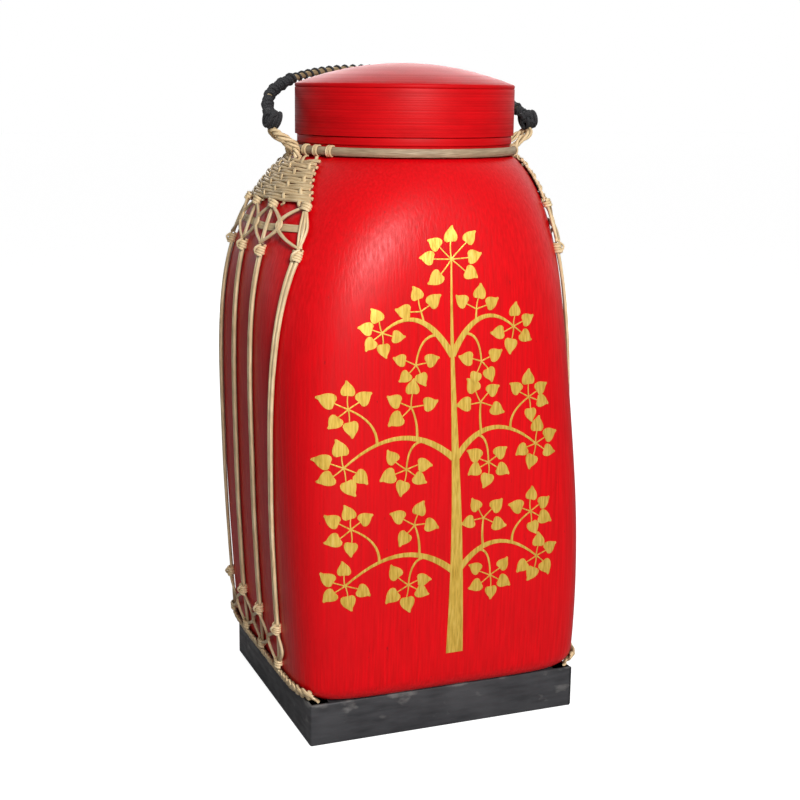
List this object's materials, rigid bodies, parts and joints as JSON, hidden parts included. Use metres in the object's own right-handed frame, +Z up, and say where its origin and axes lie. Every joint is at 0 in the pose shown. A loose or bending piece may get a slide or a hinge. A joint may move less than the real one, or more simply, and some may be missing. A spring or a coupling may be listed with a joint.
{
  "type": "lidded rice box",
  "caption": "Tall lidded box, square at the foot and round at the neck, on a wooden frame, with rattan lacing, a lift-off lid and a swinging cord handle.",
  "frame": {"origin": "centre of the overall box at the plane of the floor", "axes": "+Z up, -Y towards the front, +X to the right seen from the front"},
  "size_m": [0.2391, 0.214, 0.4585],
  "materials": {
    "red_lacquer": "red lacquer over bamboo, soft gloss, with fine streaks",
    "black_paint": "matt black paint on wood, scuffed at the edges",
    "rattan": "natural peeled rattan",
    "black_cord": "black bound cord"
  },
  "bodies": {
    "body": {"base_front_board": "black_paint", "base_right_board": "black_paint", "base_back_board": "black_paint", "base_left_board": "black_paint", "body_shell": "red_lacquer", "neck_collar": "red_lacquer", "neck_hoop": "rattan", "warp_left_1": "rattan", "upper_knot_left_1": "rattan", "lower_knot_left_1": "rattan", "warp_left_2": "rattan", "upper_knot_left_2": "rattan", "lower_knot_left_2": "rattan", "warp_left_3": "rattan", "upper_knot_left_3": "rattan", "lower_knot_left_3": "rattan", "warp_left_4": "rattan", "upper_knot_left_4": "rattan", "lower_knot_left_4": "rattan", "cross_strip_left": "rattan", "upper_lacing_left": "rattan", "lower_lacing_left": "rattan", "fan_weave_left": "rattan", "plaited_band_left": "rattan", "ear_loop_left": "rattan", "warp_right_1": "rattan", "upper_knot_right_1": "rattan", "lower_knot_right_1": "rattan", "warp_right_2": "rattan", "upper_knot_right_2": "rattan", "lower_knot_right_2": "rattan", "warp_right_3": "rattan", "upper_knot_right_3": "rattan", "lower_knot_right_3": "rattan", "warp_right_4": "rattan", "upper_knot_right_4": "rattan", "lower_knot_right_4": "rattan", "cross_strip_right": "rattan", "upper_lacing_right": "rattan", "lower_lacing_right": "rattan", "fan_weave_right": "rattan", "plaited_band_right": "rattan", "ear_loop_right": "rattan"},
    "lid": {"lid_wall": "red_lacquer", "lid_domed_top": "red_lacquer", "lid_locating_ring": "red_lacquer"},
    "handle": {"handle_cord": "black_cord", "handle_knot_left": "black_cord", "handle_knot_right": "black_cord"}
  },
  "joints": [
    {"name": "lid_lift", "type": "slide", "parent": "body", "child": "lid", "axis": [0, 0, 1], "range_m": [0, 0.13]},
    {"name": "handle_swing", "type": "hinge", "parent": "body", "child": "handle", "pos_m": [0.0045, 0, 0.421], "axis": [1, 0, 0], "range_deg": [0, 130]}
  ]
}
